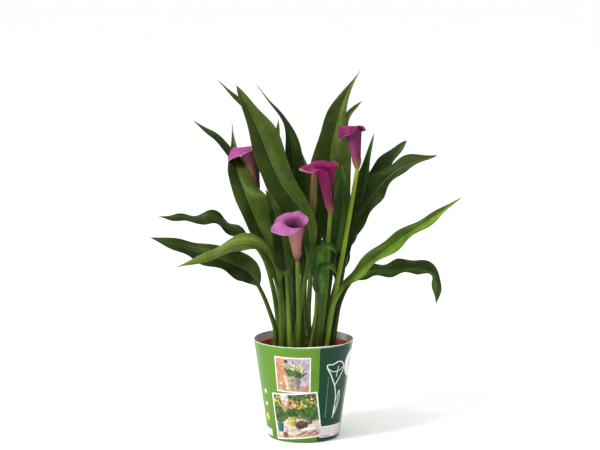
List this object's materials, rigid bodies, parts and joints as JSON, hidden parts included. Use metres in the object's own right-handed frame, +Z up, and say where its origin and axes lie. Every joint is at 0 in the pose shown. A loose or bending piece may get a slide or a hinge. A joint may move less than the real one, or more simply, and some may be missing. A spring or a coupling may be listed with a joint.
{
  "type": "potted calla lily",
  "caption": "Calla lily in a nursery pot inside a tapered green cover: long pointed leaves, rolled purple-pink spathes round yellow spadices, and a closed bud.",
  "frame": {"origin": "middle of the pot cover's underside, on the surface that it stands on", "axes": "+Z up along the pot's axis; -Y towards the front, where the cover's printed side and the foremost flower are; +X to the right seen from the front"},
  "size_m": [0.4046, 0.2852, 0.4923],
  "materials": {
    "cover": "printed satin film over thin moulded plastic, light green with a dark green band, white inside",
    "nursery": "matt terracotta-coloured moulded plastic",
    "soil": "damp dark peat compost",
    "tuber": "dry corky skin",
    "leaf": "waxy dark green leaf, satin gloss",
    "stalk": "smooth yellow-green flower stalk",
    "spathe": "smooth purple-pink spathe, velvety with fine veins",
    "spadix": "grainy yellow spadix",
    "bud": "tightly rolled tan and pink bud"
  },
  "bodies": {
    "root": {"pot_cover": "cover", "nursery_pot": "nursery", "soil": "soil", "tuber_left": "tuber", "tuber_right": "tuber", "tuber_back": "tuber", "leaf_left_long": "leaf", "leaf_left_front_drooping": "leaf", "leaf_left_upper": "leaf", "leaf_left_broad": "leaf", "leaf_left_back_high": "leaf", "leaf_left_narrow_tall": "leaf", "leaf_centre_giant": "leaf", "leaf_centre_hooked": "leaf", "leaf_back_left_tall": "leaf", "leaf_back_middle_tall": "leaf", "leaf_front_left_short": "leaf", "leaf_front_curled_upper": "leaf", "leaf_front_curled_lower": "leaf", "leaf_right_tallest": "leaf", "leaf_right_front_pointed": "leaf", "leaf_right_back_tip": "leaf", "leaf_right_slim_upright": "leaf", "leaf_right_back_wide": "leaf", "leaf_right_broad": "leaf", "leaf_right_back_low": "leaf", "leaf_right_long": "leaf", "leaf_right_drooping": "leaf", "leaf_back_arching_left": "leaf", "leaf_back_arching_middle": "leaf", "leaf_back_arching_right": "leaf", "leaf_back_upright": "leaf", "flower_stalk_left": "stalk", "spathe_left": "spathe", "spadix_left": "spadix", "flower_stalk_centre": "stalk", "spathe_centre": "spathe", "spadix_centre": "spadix", "flower_stalk_front": "stalk", "spathe_front": "spathe", "spadix_front": "spadix", "flower_stalk_right_high": "stalk", "spathe_right_high": "spathe", "spadix_right_high": "spadix", "flower_stalk_bud": "stalk", "bud": "bud"}
  },
  "joints": []
}
